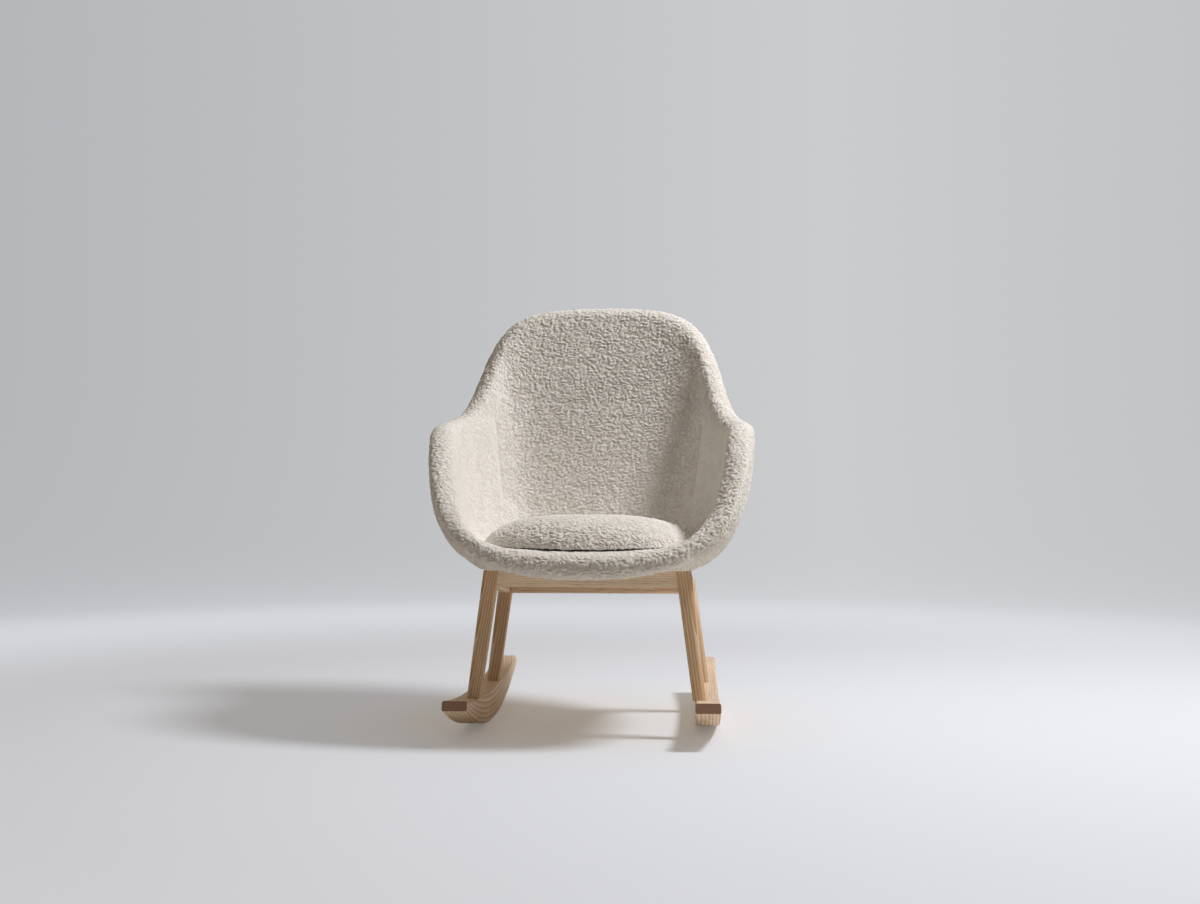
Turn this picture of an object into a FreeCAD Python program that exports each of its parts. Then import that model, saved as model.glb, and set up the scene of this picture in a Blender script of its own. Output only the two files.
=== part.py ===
import FreeCAD, Part
import math
import os

import Sketcher
from FreeCAD import Placement, Rotation, Vector

# Upholstered rocking chair. X is the width, Y the depth with the front at -Y,
# Z is up. The origin lies on the floor under the middle of the rockers.
# The seat frame, the shell and the pad are laid out in the frame plane, the
# plane of the rails' top faces, which leans back by the seat tilt.

doc = FreeCAD.newDocument("rocking_chair")

# Lengths in millimetres, angles in degrees.
SIZES = {
    # rockers
    "rocker_length": 720.0,
    "rocker_radius": 1000.0,
    "rocker_waist": 62.0,
    "rocker_end": 18.6,
    "rocker_width": 46.0,
    "rocker_spacing": 456.0,
    "rocker_edge_round": 4.0,
    # frame plane
    "seat_tilt": 6.5,
    "frame_height": 294.0,
    "frame_shift": -52.5,
    # legs
    "leg_width": 30.0,
    "leg_depth": 32.0,
    "leg_taper": 0.5,
    "front_leg_splay": 7.0,
    "rear_leg_splay": 8.0,
    "rear_leg_rake": 10.0,
    "leg_outer_round": 12.0,
    "leg_inner_round": 3.0,
    "front_leg_spacing": 367.0,
    "rear_leg_spacing": 381.0,
    "front_leg_reach": 148.0,
    "rear_leg_reach": 131.3,
    "tenon_diameter": 16.0,
    "tenon_depth": 28.0,
    # rails and their dowels
    "rail_height": 31.0,
    "rail_thickness": 20.0,
    "rail_edge_round": 5.0,
    "dowel_diameter": 7.0,
    "dowel_length": 34.0,
    "dowel_pitch": 18.0,
    "joint_clearance": 0.1,
    # mounting board, corner blocks and screws
    "board_thickness": 9.0,
    "board_clearance": 0.5,
    "block_reach": 64.0,
    "block_nose": 18.0,
    "block_height": 12.0,
    "screw_diameter": 4.0,
    "screw_length": 18.0,
    "screw_head_diameter": 8.0,
    "screw_head_height": 3.0,
    "screw_inset": 24.0,
    # shell fixing
    "bolt_diameter": 8.0,
    "bolt_head_width": 13.0,
    "bolt_head_height": 5.5,
    "bolt_grip": 14.0,
    "bolt_pitch_across": 170.0,
    "bolt_pitch_along": 150.0,
    "washer_diameter": 20.0,
    "washer_thickness": 1.6,
    "insert_diameter": 12.0,
    "insert_length": 13.0,
    "boss_diameter": 26.0,
    # shell layers
    "seat_thickness": 28.0,
    "roll_thickness": 54.0,
    "lip_thickness": 47.0,
    "core_thickness": 5.0,
    "cover_thickness": 2.5,
    "layer_gap": 0.5,
    "seam_gap": 0.7,
    # shell form, heights above the frame plane
    "shell_width": 654.0,
    "seat_middle": -32.0,
    "flat_width": 284.0,
    "flat_depth": 340.0,
    "lip_reach": 283.0,
    "lip_drop": 18.0,
    "lip_lean": 40.0,
    "arm_height": 285.0,
    "arm_lean": 15.0,
    "back_height": 587.0,
    "back_width": 466.0,
    "back_reach": 258.0,
    "back_lean": 93.0,
    # seat pad
    "pad_thickness": 78.0,
    "pad_gap": 0.5,
    "pad_corner_gap": 4.0,
}

sheet = doc.addObject("Spreadsheet::Sheet", "Sizes")
for row, (name, value) in enumerate(SIZES.items(), start=1):
    sheet.set(f"A{row}", name)
    sheet.set(f"B{row}", str(value))
    sheet.setAlias(f"B{row}", name)
doc.recompute()


def size(name):
    return float(sheet.get(name))


def on_frame(x=0.0, y=0.0, z=0.0, rotation=None):
    """A placement given in the frame plane."""
    tilt = Rotation(Vector(1, 0, 0), -size("seat_tilt"))
    plane = Placement(Vector(0, size("frame_shift"), size("frame_height")), tilt)
    return plane.multiply(Placement(Vector(x, y, z), rotation or Rotation()))


def bind(item, **properties):
    for name, expression in properties.items():
        item.setExpression(name.replace("__", "."), expression)
    return item


def part(kind, name, label=None, **links):
    item = doc.addObject(kind, name)
    item.Label = label or name
    for link, value in links.items():
        setattr(item, link, value)
    return item


def cylinder(name, diameter, height, placement):
    item = part("Part::Cylinder", name)
    bind(item, Radius=f"({diameter}) / 2", Height=height)
    item.Placement = placement
    return item


def mirrored(source, label):
    return part("Part::Mirroring", "Mirror_" + label, label, Source=source, Normal=Vector(1, 0, 0))


def origin_plane(body, role):
    return next(f for f in body.Origin.OriginFeatures if f.Role == role)


def new_sketch(body, plane):
    sketch = body.newObject("Sketcher::SketchObject", body.Name + "Sketch")
    sketch.AttachmentSupport = [(origin_plane(body, plane), "")]
    sketch.MapMode = "FlatFace"
    return sketch


def rectangle(sketch, width, height):
    """A rectangle about the sketch's origin."""
    half = 10.0
    corners = [Vector(x * half, y * half) for x, y in ((-1, -1), (1, -1), (1, 1), (-1, 1))]
    for start, end in zip(corners, corners[1:] + corners[:1]):
        sketch.addGeometry(Part.LineSegment(start, end))
    for side in range(4):
        sketch.addConstraint(Sketcher.Constraint("Coincident", side, 2, (side + 1) % 4, 1))
    for side, way in enumerate(("Horizontal", "Vertical", "Horizontal", "Vertical")):
        sketch.addConstraint(Sketcher.Constraint(way, side))
    sketch.addConstraint(Sketcher.Constraint("Symmetric", 0, 1, 2, 1, -1, 1))
    across = sketch.addConstraint(Sketcher.Constraint("DistanceX", 0, 1, 0, 2, 2 * half))
    along = sketch.addConstraint(Sketcher.Constraint("DistanceY", 1, 1, 1, 2, 2 * half))
    sketch.setExpression(f"Constraints[{across}]", width)
    sketch.setExpression(f"Constraints[{along}]", height)


def pad(body, sketch, length, side="One side", reverse=False):
    feature = body.newObject("PartDesign::Pad", body.Name + "Pad")
    feature.Profile = sketch
    feature.SideType = side
    feature.Reversed = reverse
    feature.setExpression("Length", length)
    return feature


def round_edges(body, base, radius, wanted, tag):
    """Round those edges of the base whose middle point is wanted."""
    doc.recompute()
    names = []
    for number, edge in enumerate(base.Shape.Edges, start=1):
        middle = edge.valueAt((edge.FirstParameter + edge.LastParameter) / 2)
        if wanted(middle, edge):
            names.append(f"Edge{number}")
    feature = body.newObject("PartDesign::Fillet", body.Name + tag)
    feature.Base = (base, names)
    feature.setExpression("Radius", radius)
    body.Tip = feature
    return feature


# Rockers: a crescent between two arcs, its end faces square to the lower arc.

def rocker_corner():
    """The upper corner of a rocker's rear end, across the depth and up."""
    half, low = size("rocker_length") / 2, size("rocker_radius")
    drop = math.sqrt(low ** 2 - half ** 2)
    share = size("rocker_end") / low
    return half * (1 - share), low - drop * (1 - share)


def rocker_top_radius():
    """The upper arc passes the waist and both ends' upper corners."""
    across, up = rocker_corner()
    rise = up - size("rocker_waist")
    return (across ** 2 + rise ** 2) / (2 * rise)


def rocker_blank():
    body = part("PartDesign::Body", "RockerBlank")
    sketch = new_sketch(body, "YZ_Plane")
    half = size("rocker_length") / 2
    low, high = size("rocker_radius"), rocker_top_radius()
    waist = size("rocker_waist")
    low_center, high_center = Vector(0, low), Vector(0, waist + high)
    swing = math.asin(half / low)
    reach = math.asin(rocker_corner()[0] / high)
    down = math.pi * 1.5
    axis = Vector(0, 0, 1)
    low_arc = Part.ArcOfCircle(Part.Circle(low_center, axis, low), down - swing, down + swing)
    high_arc = Part.ArcOfCircle(Part.Circle(high_center, axis, high), down - reach, down + reach)
    sketch.addGeometry(low_arc)
    sketch.addGeometry(high_arc)
    ends = []
    for end in (1, 2):
        low_end = low_arc.StartPoint if end == 1 else low_arc.EndPoint
        high_end = high_arc.StartPoint if end == 1 else high_arc.EndPoint
        line = sketch.addGeometry(Part.LineSegment(low_end, high_end))
        sketch.addConstraint(Sketcher.Constraint("Coincident", line, 1, 0, end))
        sketch.addConstraint(Sketcher.Constraint("Coincident", line, 2, 1, end))
        sketch.addConstraint(Sketcher.Constraint("PointOnObject", 0, 3, line))
        ends.append(line)
    middle = sketch.addGeometry(Part.Point(Vector(0, waist)), True)
    sketch.addConstraint(Sketcher.Constraint("PointOnObject", middle, 1, -2))
    sketch.addConstraint(Sketcher.Constraint("PointOnObject", middle, 1, 1))
    driven = (
        (Sketcher.Constraint("Radius", 0, low), "Sizes.rocker_radius"),
        (Sketcher.Constraint("DistanceY", -1, 1, 0, 3, low), "Sizes.rocker_radius"),
        (Sketcher.Constraint("DistanceY", -1, 1, middle, 1, waist), "Sizes.rocker_waist"),
        (Sketcher.Constraint("Distance", ends[1], size("rocker_end")), "Sizes.rocker_end"),
        (Sketcher.Constraint("DistanceX", 0, 1, -1, 1, half), "Sizes.rocker_length / 2"),
        (Sketcher.Constraint("DistanceX", -1, 1, 0, 2, half), "Sizes.rocker_length / 2"),
    )
    for arc in (0, 1):
        sketch.addConstraint(Sketcher.Constraint("PointOnObject", arc, 3, -2))
    for constraint, expression in driven:
        number = sketch.addConstraint(constraint)
        sketch.setExpression(f"Constraints[{number}]", expression)
    slab = pad(body, sketch, "Sizes.rocker_width", side="Symmetric")
    side = size("rocker_width") / 2
    round_edges(
        body, slab, "Sizes.rocker_edge_round",
        lambda middle, edge: abs(abs(middle.x) - side) < 0.01 and edge.Length > half, "Round",
    )
    bind(body, Placement__Base__x="Sizes.rocker_spacing / 2")
    return body


# Legs: splayed outward. Seen from the side the front ones are square to the
# frame plane and the rear ones rake back from it.

def leg_top(end):
    """Where the right-hand leg's axis meets the frame plane."""
    way = -1 if end == "front" else 1
    return size(f"{end}_leg_spacing") / 2, way * size(f"{end}_leg_reach")


def leg_rake(end):
    """How far a leg's foot swings back from square to the frame plane."""
    return size("rear_leg_rake") if end == "rear" else 0.0


def leg_turn(end):
    """The right-hand leg's direction, splayed and raked."""
    splay = Rotation(Vector(0, 1, 0), -size(f"{end}_leg_splay"))
    rake = Rotation(Vector(1, 0, 0), leg_rake(end))
    return on_frame(rotation=rake.multiply(splay)).Rotation


def leg_axis(end):
    """Top point on the frame plane and the direction down the leg."""
    return on_frame(*leg_top(end)).Base, leg_turn(end).multVec(Vector(0, 0, -1))


def foot_distance(end):
    """Distance along the leg from the frame plane to the rocker's top."""
    top, down = leg_axis(end)
    radius = rocker_top_radius()
    rise = top.z - size("rocker_waist") - radius
    a = down.y ** 2 + down.z ** 2
    b = top.y * down.y + rise * down.z
    c = top.y ** 2 + rise ** 2 - radius ** 2
    return (-b + math.sqrt(b * b - a * c)) / a


def leg_placement(end, along):
    """A placement on the leg's axis, so far below the frame plane."""
    top, down = leg_axis(end)
    return Placement(top + down * along, leg_turn(end))


def leg_bar(end):
    """The leg's section, tapering to the foot and run past both ends."""
    body = part("PartDesign::Body", f"{end}_leg_bar")
    sketch = new_sketch(body, "XY_Plane")
    rectangle(sketch, "Sizes.leg_width", "Sizes.leg_depth")
    spare = size("leg_width")
    length = f"{foot_distance(end):.4f} + 2 * Sizes.leg_width"
    bar = pad(body, sketch, length, reverse=True)
    bind(bar, TaperAngle="-Sizes.leg_taper")
    along = size("leg_width")
    outer = round_edges(
        body, bar, "Sizes.leg_outer_round",
        lambda middle, edge: middle.x > 0 and edge.Length > along * 2, "Outer",
    )
    round_edges(
        body, outer, "Sizes.leg_inner_round",
        lambda middle, edge: middle.x < 0 and edge.Length > along * 2, "Inner",
    )
    body.Placement = leg_placement(end, -spare)
    return body


def dowel(name, placement, extra="0"):
    return cylinder(
        name, f"Sizes.dowel_diameter + {extra}", f"Sizes.dowel_length + {extra}", placement
    )


def tenon(name, end, extra):
    start = foot_distance(end) - size("tenon_diameter")
    turn = Rotation(Vector(1, 0, 0), 180)
    place = leg_placement(end, start).multiply(Placement(Vector(), turn))
    return cylinder(
        name,
        f"Sizes.tenon_diameter + {extra}",
        f"Sizes.tenon_diameter + Sizes.tenon_depth + {extra}",
        place,
    )


def big_box(name, z):
    """A block of the frame plane's whole extent, standing on height z."""
    span = 2 * (size("rocker_length") + size("rocker_spacing"))
    box = part("Part::Box", name)
    box.Length = box.Width = span
    box.Height = span
    box.Placement = on_frame(-span / 2, -span / 2, z)
    return box


EXTRA = "2 * Sizes.joint_clearance"
ENDS = ("front", "rear")
rail_mid = -size("rail_height") / 2

above_frame = big_box("AboveFrame", 0)
foot_round = cylinder(
    "FootRound", f"{2 * rocker_top_radius():.6f}", "2 * Sizes.rocker_spacing",
    Placement(
        Vector(-size("rocker_spacing"), 0, size("rocker_waist") + rocker_top_radius()),
        Rotation(Vector(0, 1, 0), 90),
    ),
)

bars = {}
for end in ENDS:
    bars[end, "right"] = leg_bar(end)
    bars[end, "left"] = mirrored(bars[end, "right"], f"{end}_leg_bar_left")


def axis_point(end, z):
    """Where the right-hand leg's axis passes a height in the frame plane."""
    x, y = leg_top(end)
    splay, rake = math.radians(size(f"{end}_leg_splay")), math.radians(leg_rake(end))
    return Vector(x - z * math.tan(splay) / math.cos(rake), y - z * math.tan(rake), z)


def joint_x(end, z):
    """Inner face of a leg at a height in the frame plane."""
    splay = math.radians(size(f"{end}_leg_splay"))
    return axis_point(end, z).x - size("leg_width") / 2 / math.cos(splay)


side_start, side_end = axis_point("front", rail_mid), axis_point("rear", rail_mid)
side_run = side_end - side_start
front_y, rear_y = side_start.y, side_end.y


def side_point(y):
    """The middle of the right-hand side rail, which runs from leg to leg."""
    return side_start + side_run * ((y - side_start.y) / side_run.y)


def dowel_spots():
    """Placements of the right-hand dowels, by the leg that they enter."""
    spots = {"front": [], "rear": []}
    half = size("dowel_length") / 2
    for end, y, inward in (("front", front_y, 1), ("rear", rear_y, -1)):
        for step in (-0.5, 0.5):
            z = rail_mid + step * size("dowel_pitch")
            turn = Rotation(Vector(0, 1, 0), 90)
            spots[end].append(on_frame(joint_x(end, z) - half, y, z, turn))
        face = side_point(y + inward * size("leg_depth") / 2)
        start = face - Vector(side_run).normalize() * half
        spots[end].append(on_frame(*start, Rotation(Vector(0, 0, 1), side_run)))
    return spots


def collect(label, items):
    return part("Part::Compound", "Group_" + label, label, Links=items)


dowels, bores = [], {}
for end, spots in dowel_spots().items():
    bores[end] = []
    for number, spot in enumerate(spots):
        name = f"{end}_dowel_{number}"
        right = dowel(name, spot)
        bore_spot = spot.multiply(Placement(Vector(0, 0, -size("joint_clearance")), Rotation()))
        bore = dowel(name + "_bore", bore_spot, EXTRA)
        dowels += [right, mirrored(right, name + "_left")]
        bores[end] += [bore]
right_bores = collect("right_bores", bores["front"] + bores["rear"])
left_bores = mirrored(right_bores, "left_bores")
rail_dowels = collect("rail_dowels", dowels)


def cut(name, base, tools, label=None):
    tool = tools[0] if len(tools) == 1 else part("Part::MultiFuse", name + "_tools", Shapes=tools)
    return part("Part::Cut", name, label, Base=base, Tool=tool)


legs = {}
for end in ENDS:
    label = f"{end}_leg_right"
    foot = part(
        "Part::MultiCommon", f"{end}_leg_foot", Shapes=[bars[end, "right"], foot_round]
    )
    topped = cut(f"{end}_leg_topped", foot, [above_frame, right_bores])
    peg = tenon(f"{end}_tenon", end, "0")
    legs[end, "right"] = part("Part::MultiFuse", label, Shapes=[topped, peg])
    legs[end, "left"] = mirrored(legs[end, "right"], f"{end}_leg_left")

sockets = [tenon(f"{end}_socket", end, EXTRA) for end in ENDS]
rocker_right = cut("rocker_right", rocker_blank(), sockets)
rocker_left = mirrored(rocker_right, "rocker_left")


# Rails: run to the legs' centre lines and coped to the legs, flat on top.

def rail_bar(name, plane, length, placement):
    body = part("PartDesign::Body", name)
    sketch = new_sketch(body, plane)
    rectangle(sketch, "Sizes.rail_thickness", "Sizes.rail_height")
    bar = pad(body, sketch, length, side="Symmetric")
    low = -size("rail_height") / 2
    round_edges(
        body, bar, "Sizes.rail_edge_round",
        lambda middle, edge: middle.z < low + 0.01 and edge.Length > size("rail_thickness") + 1,
        "Round",
    )
    body.Placement = placement
    return body


rails = {}
for end, y in (("front", front_y), ("rear", rear_y)):
    place = on_frame(0, y, rail_mid)
    bar = rail_bar(f"{end}_rail_bar", "YZ_Plane", f"Sizes.{end}_leg_spacing", place)
    ends = [bars[end, "right"], bars[end, "left"], right_bores, left_bores]
    rails[end] = cut(f"{end}_rail", bar, ends)
side_bar = rail_bar(
    "side_rail_bar", "XZ_Plane", "Sizes.front_leg_reach + Sizes.rear_leg_reach",
    on_frame(*side_point((front_y + rear_y) / 2), Rotation(Vector(0, 1, 0), side_run)),
)
side_rail_right = cut(
    "side_rail_right", side_bar, [bars["front", "right"], bars["rear", "right"], right_bores]
)
side_rail_left = mirrored(side_rail_right, "side_rail_left")


# Mounting board and corner blocks, inside the rails.

def inner_x(y):
    """The right-hand side rail's inner face."""
    return side_point(y).x - size("rail_thickness") / 2 * side_run.Length / side_run.y


inner_front = front_y + size("rail_thickness") / 2
inner_rear = rear_y - size("rail_thickness") / 2
inner_y = (inner_front + inner_rear) / 2
inner_half = (inner_rear - inner_front) / 2
bolt_spots = [
    (x * size("bolt_pitch_across") / 2, size("seat_middle") + y * size("bolt_pitch_along") / 2)
    for x in (-1, 1) for y in (-1, 1)
]


def inside_rails(x_way, y_way, from_side, from_end):
    """A point so far inside a side rail and inside the front or rear rail."""
    y = inner_y + y_way * (inner_half - from_end)
    return x_way * (inner_x(y) - from_side), y


screw_spots = [
    inside_rails(x, y, size("screw_inset"), size("screw_inset")) for x in (-1, 1) for y in (-1, 1)
]


def prism(points, low, height):
    corners = [Vector(x, y, low) for x, y in points]
    outline = Part.makePolygon(corners + corners[:1])
    return Part.Face(outline).extrude(Vector(0, 0, height))


def holes(name, spots, diameter, low, high):
    items = []
    for number, (x, y) in enumerate(spots):
        items.append(cylinder(f"{name}_{number}", diameter, f"{high - low:.4f} mm", on_frame(x, y, low)))
    return collect(name, items)


def shaped(label, shape, placement=None):
    item = doc.addObject("Part::Feature", label)
    item.Label = label
    item.Shape = shape
    item.Placement = placement or on_frame()
    return item


def corner_points(x_way, y_way):
    reach, nose = size("block_reach"), size("block_nose")
    steps = [(nose, 0), (reach, 0), (0, reach), (0, nose)]
    return [inside_rails(x_way, y_way, *step) for step in steps]


board_low = -size("board_thickness")
block_low = board_low - size("block_height")
blocks = [
    prism(corner_points(x, y), block_low, size("block_height")) for x in (-1, 1) for y in (-1, 1)
]
board_edge = size("board_clearance")
nose = size("block_nose")
board_points = []
for x, y, first in ((-1, -1, 0), (1, -1, 1), (1, 1, 0), (-1, 1, 1)):
    pair = [(nose, 0), (0, nose)]
    pair = pair[::-1] if first == 0 else pair
    for a, b in pair:
        board_points.append(inside_rails(x, y, board_edge + a, board_edge + b))

bolt_holes = holes("board_bolt_holes", bolt_spots, f"Sizes.bolt_diameter + {EXTRA}", 2 * board_low, 1)
screw_bores = holes(
    "screw_bores", screw_spots, f"Sizes.screw_diameter + {EXTRA}",
    -size("screw_length") - size("joint_clearance"), 1,
)
head_low = -size("screw_head_height") - size("joint_clearance")
head_bores = holes(
    "screw_head_bores", screw_spots, f"Sizes.screw_head_diameter + {EXTRA}", head_low, 1
)
board_blank = shaped("board_blank", prism(board_points, board_low, size("board_thickness")))
block_blank = shaped("block_blank", Part.makeCompound(blocks))
mounting_board = cut("mounting_board", board_blank, [bolt_holes, screw_bores, head_bores])
corner_blocks = cut("corner_blocks", block_blank, [screw_bores])

screws = []
for number, (x, y) in enumerate(screw_spots):
    shank = cylinder(
        f"screw_shank_{number}", "Sizes.screw_diameter", "Sizes.screw_length",
        on_frame(x, y, -size("screw_length")),
    )
    head = cylinder(
        f"screw_head_{number}", "Sizes.screw_head_diameter", "Sizes.screw_head_height",
        on_frame(x, y, -size("screw_head_height")),
    )
    screws.append(part("Part::MultiFuse", f"screw_{number}", Shapes=[shank, head]))
board_screws = collect("board_screws", screws)


# Shell: every wall runs from the flat of the seat to the rim. Control points
# of the rim go once round the chair, from the front of the lip over the right
# arm and the back.

def rim_points():
    arm_x = (size("shell_width") - size("roll_thickness")) / 2
    back_x = size("back_width") / 2
    lip, back = size("lip_reach"), size("back_reach")
    low = size("seat_thickness") / 2 - size("lip_drop")
    arm, top = size("arm_height"), size("back_height")
    rise, climb = arm - low, top - arm
    flare = arm_x - back_x
    right = [
        (0.50 * arm_x, -0.985 * lip, low + 0.02 * rise),
        (0.83 * arm_x, -0.87 * lip, low + 0.22 * rise),
        (0.94 * arm_x, -0.64 * lip, low + 0.66 * rise),
        (0.985 * arm_x, -0.33 * lip, low + 0.94 * rise),
        (1.02 * arm_x, 0.0, arm),
        (back_x + 0.60 * flare, 0.38 * back, arm + 0.10 * climb),
        (back_x + 0.30 * flare, 0.62 * back, arm + 0.38 * climb),
        (back_x, 0.83 * back, arm + 0.72 * climb),
        (0.77 * back_x, 0.95 * back, arm + 0.98 * climb),
    ]
    left = [(-x, y, z) for x, y, z in reversed(right)]
    ring = [(0, -lip, low)] + right + [(0, back, top)] + left
    return [Vector(*point) for point in ring]


TIGHT = 0.75  # how far the wall's handles run toward its corner
FULL = 0.35  # keeps the wall's thickness through the corner


def wall(rim):
    """Control points of one wall's outer and inner face, its rim's direction and half thickness."""
    center = Vector(0, size("seat_middle"), 0)
    out = Vector(rim.x, rim.y - center.y, 0).normalize()
    up = Vector(0, 0, 1)
    thinner = size("roll_thickness") - size("lip_thickness")
    roll = (size("roll_thickness") - thinner * max(0, -out.y) ** 2) / 2
    seat = size("seat_thickness") / 2
    far = size("lip_lean") if out.y < 0 else size("back_lean")
    lean = size("arm_lean") + (far - size("arm_lean")) * out.y ** 2
    foot = Vector(out.x * size("flat_width") / 2, center.y + out.y * size("flat_depth") / 2, seat)
    corner = Vector(rim.x, rim.y, seat) - out * lean
    handle = foot + (corner - foot) * TIGHT
    shoulder = rim + (corner - rim) * TIGHT
    rise = (rim - shoulder).normalize()
    side = (out * rise.z - up * (rise * out)).normalize()
    steps = [
        up * -seat,
        up * -seat + out * (FULL * roll),
        side * roll - rise * (FULL * seat),
        side * roll,
    ]
    middle = [foot, handle, shoulder, rim]
    outer = [point + step for point, step in zip(middle, steps)]
    inner = [point - step for point, step in zip(middle, steps)]
    return outer, inner, rise, roll


WALLS = [wall(point) for point in rim_points()]


def from_outside(depth):
    return [[a + (b - a).normalize() * depth for a, b in zip(o, i)] for o, i, _, _ in WALLS]


def from_inside(depth):
    return [[b + (a - b).normalize() * depth for a, b in zip(o, i)] for o, i, _, _ in WALLS]


def from_middle(depth):
    """Depth toward the inside, from the middle of the wall."""
    return [[(a + b) / 2 + (b - a).normalize() * depth for a, b in zip(o, i)] for o, i, _, _ in WALLS]


def split(points, at):
    """Control points of a curve's two parts, before and after a place on it."""
    before, after = [points[0]], [points[-1]]
    while len(points) > 1:
        points = [a + (b - a) * at for a, b in zip(points, points[1:])]
        before.append(points[0])
        after.insert(0, points[-1])
    return before, after


def rim_roll(depth):
    """The rolled rim, so deep below the skin, from above the seam to the inner wall."""
    rows = []
    for low, high, (_, _, rise, roll) in zip(from_outside(depth), from_inside(depth), WALLS):
        handle = 4 / 3 * (roll - depth)
        start = size("seam_gap") / (3 * handle)
        arch = [low[3], low[3] + rise * handle, high[3] + rise * handle, high[3]]
        rows.append(split(arch, start)[1])
    return rows


PANELS = 4  # faces that a band is made of, round the chair


def panels(count):
    """Where each panel starts and ends, counted in control points."""
    return [(count * k // PANELS, count * (k + 1) // PANELS) for k in range(PANELS)]


def skin(rows):
    """A closed band round the chair, smooth round it, from rows of control points."""
    count, across = len(rows), len(rows[0])
    knots = [float(k) for k in range(count + 1)]
    faces = []
    for start, end in panels(count):
        surface = Part.BSplineSurface()
        surface.buildFromPolesMultsKnots(
            rows, [1] * (count + 1), [across, across], knots, [0.0, 1.0], True, False, 3, across - 1
        )
        surface.segment(start, end, 0.0, 1.0)
        faces.append(surface.toShape())
    return faces


def flat(points):
    """The flat face inside a closed ring of control points."""
    count = len(points)
    knots = [float(k) for k in range(count + 1)]
    edges = []
    for start, end in panels(count):
        curve = Part.BSplineCurve()
        curve.buildFromPolesMultsKnots(points, [1] * (count + 1), knots, True, 3)
        curve.segment(start, end)
        edges.append(curve.toShape())
    return [Part.Face(Part.Wire(edges))]


def ring(rows, number):
    return [row[number] for row in rows]


def band(first, second):
    return skin([[a, b] for a, b in zip(first, second)])


def closed(faces):
    shell = Part.makeShell(faces)
    shell.sewShape()
    solid = Part.makeSolid(shell)
    if solid.Volume < 0:
        solid.reverse()
    return solid


def bowl(first, second):
    """The layer between two faces of the wall."""
    edge = band(ring(first, 3), ring(second, 3))
    floors = flat(ring(first, 0)) + flat(ring(second, 0))
    return closed(skin(first) + skin(second) + edge + floors)


def rolled_bowl(roll_depth, back_face):
    """The layer inside the rim roll and the inner wall, down to its back face."""
    roll = rim_roll(roll_depth[0])
    front = from_inside(roll_depth[0])
    faces = skin(front) + skin(roll) + skin(back_face)
    faces += flat(ring(front, 0)) + flat(ring(back_face, 0))
    if len(roll_depth) == 2:
        under = rim_roll(roll_depth[1])
        faces += skin(under) + band(ring(roll, 0), ring(under, 0))
    else:
        faces += band(ring(roll, 0), ring(back_face, 3))
    return closed(faces)


cover, gap = size("cover_thickness"), size("layer_gap")
core_half = size("core_thickness") / 2
foam_back = from_middle(core_half + gap)
for row, (_, _, rise, _) in zip(foam_back, WALLS):
    row[3] = row[3] + rise * size("seam_gap")

boss_holes = holes("boss_holes", bolt_spots, "Sizes.boss_diameter + 2 * Sizes.layer_gap", -1,
                   size("seat_thickness") / 2 - core_half)
outer_cover = cut(
    "outer_cover", shaped("outer_cover_blank", bowl(from_outside(0), from_outside(cover))), [boss_holes]
)
outer_foam = cut(
    "outer_foam",
    shaped("outer_foam_blank", bowl(from_outside(cover + gap), from_middle(-core_half - gap))),
    [boss_holes],
)
inner_foam = shaped("inner_foam", rolled_bowl([cover + gap], foam_back))
inner_cover = shaped("inner_cover", rolled_bowl([0, cover], from_inside(cover)))

# The core stands on four bosses, each with a threaded insert for a bolt.
core_low = size("seat_thickness") / 2 - core_half
core_top = core_low + 2 * core_half
bosses = holes("bosses", bolt_spots, "Sizes.boss_diameter", 0, core_low + core_half)
insert_low = core_top - size("insert_length")
insert_holes = holes(
    "insert_holes", bolt_spots, f"Sizes.insert_diameter + {EXTRA}", insert_low, core_top + 1
)
lead_holes = holes("lead_holes", bolt_spots, f"Sizes.bolt_diameter + {EXTRA}", -1, core_top)
core_blank = shaped("core_blank", bowl(from_middle(-core_half), from_middle(core_half)))
core_bossed = part("Part::MultiFuse", "core_bossed", Shapes=[core_blank, bosses])
shell_core = cut("shell_core", core_bossed, [insert_holes, lead_holes])
insert_blanks = holes("insert_blanks", bolt_spots, "Sizes.insert_diameter", insert_low, core_top)
shell_inserts = cut("shell_inserts", insert_blanks, [lead_holes])

washer_low = board_low - size("washer_thickness")
washer_blanks = holes("washer_blanks", bolt_spots, "Sizes.washer_diameter", washer_low, board_low)
bolt_washers = cut("bolt_washers", washer_blanks, [bolt_holes])
bolts = []
for number, (x, y) in enumerate(bolt_spots):
    low = washer_low - size("bolt_head_height")
    head = part("Part::Prism", f"bolt_head_{number}", Polygon=6)
    bind(head, Circumradius="Sizes.bolt_head_width / sqrt(3)", Height="Sizes.bolt_head_height")
    head.Placement = on_frame(x, y, low)
    length = "Sizes.board_thickness + Sizes.washer_thickness + Sizes.bolt_grip"
    shank = cylinder(f"bolt_shank_{number}", "Sizes.bolt_diameter", length, on_frame(x, y, washer_low))
    bolts.append(part("Part::MultiFuse", f"bolt_{number}", Shapes=[head, shank]))
shell_bolts = collect("shell_bolts", bolts)


# Seat pad: its underside follows the shell and comes forward over the lip, and
# its top is crowned and drawn in to a knife edge.

PAD_SHARE = 0.335  # how far up the wall the pad's edge lies
PAD_FRONT = 0.85  # and how far over the lip, at the front
PAD_TURN = 4  # how soon its edge leaves the lip, towards the arms
PAD_RISE = (0, 1, 1, 1)  # where its front corners lift off, from the seat outward
CROWN_FLAT = 0.42  # the crown's level part
CROWN_FULL = 0.80  # where the crown's shoulder lies
SWELL = 0.40  # how high the pad's side stands before it turns in
FOAM_SHARE = 0.95  # the foam's edge, short of the cover's


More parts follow.
